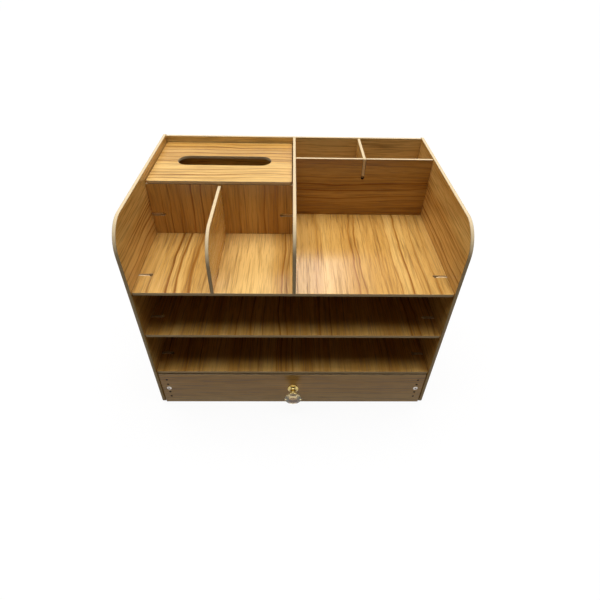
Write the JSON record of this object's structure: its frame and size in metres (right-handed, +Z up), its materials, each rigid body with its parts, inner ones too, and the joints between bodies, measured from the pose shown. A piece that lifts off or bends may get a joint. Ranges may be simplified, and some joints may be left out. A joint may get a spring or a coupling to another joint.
{
  "type": "desk organizer",
  "caption": "Desktop organizer of thin wood-grain laminated boards: lidded tissue box, open cells, tray and pen cells on top, file bays below, and a bottom drawer with a faceted clear knob.",
  "frame": {"origin": "at the level that the object stands on, in the middle of its overall width and of its overall depth with the knob", "axes": "+X to the right seen from the front, +Y to the back, +Z up; the drawer opens along -Y"},
  "size_m": [0.331, 0.2398, 0.258],
  "materials": {
    "laminate_board": "glossy golden oak laminate with darker streaks, cream cut edges",
    "knob_brass": "polished, plated",
    "knob_crystal": "clear, cut in flat facets",
    "screw_steel": "bright zinc plating"
  },
  "bodies": {
    "carcass": {"left_side_panel": "laminate_board", "right_side_panel": "laminate_board", "back_panel": "laminate_board", "base_panel": "laminate_board", "lower_shelf": "laminate_board", "middle_shelf": "laminate_board", "top_deck": "laminate_board", "centre_divider": "laminate_board", "small_divider": "laminate_board", "tissue_front_wall": "laminate_board", "tissue_rear_rail": "laminate_board", "pen_wall": "laminate_board", "pen_divider": "laminate_board", "left_panel_screws": "screw_steel", "right_panel_screws": "screw_steel", "tissue_wall_screw": "screw_steel", "deck_screws": "screw_steel", "back_panel_screws": "screw_steel"},
    "drawer": {"drawer_front": "laminate_board", "drawer_left_side": "laminate_board", "drawer_right_side": "laminate_board", "drawer_back": "laminate_board", "drawer_bottom": "laminate_board", "knob_base": "knob_brass", "knob_crystal": "knob_crystal", "drawer_front_screws": "screw_steel", "drawer_back_screws": "screw_steel", "knob_screw": "screw_steel"},
    "lid": {"tissue_lid": "laminate_board"}
  },
  "joints": [
    {"name": "drawer_slide", "type": "slide", "parent": "carcass", "child": "drawer", "axis": [0, -1, 0], "range_m": [0, 0.15]},
    {"name": "lid_lift", "type": "slide", "parent": "carcass", "child": "lid", "axis": [0, 0, 1], "range_m": [0, 0.08]}
  ]
}
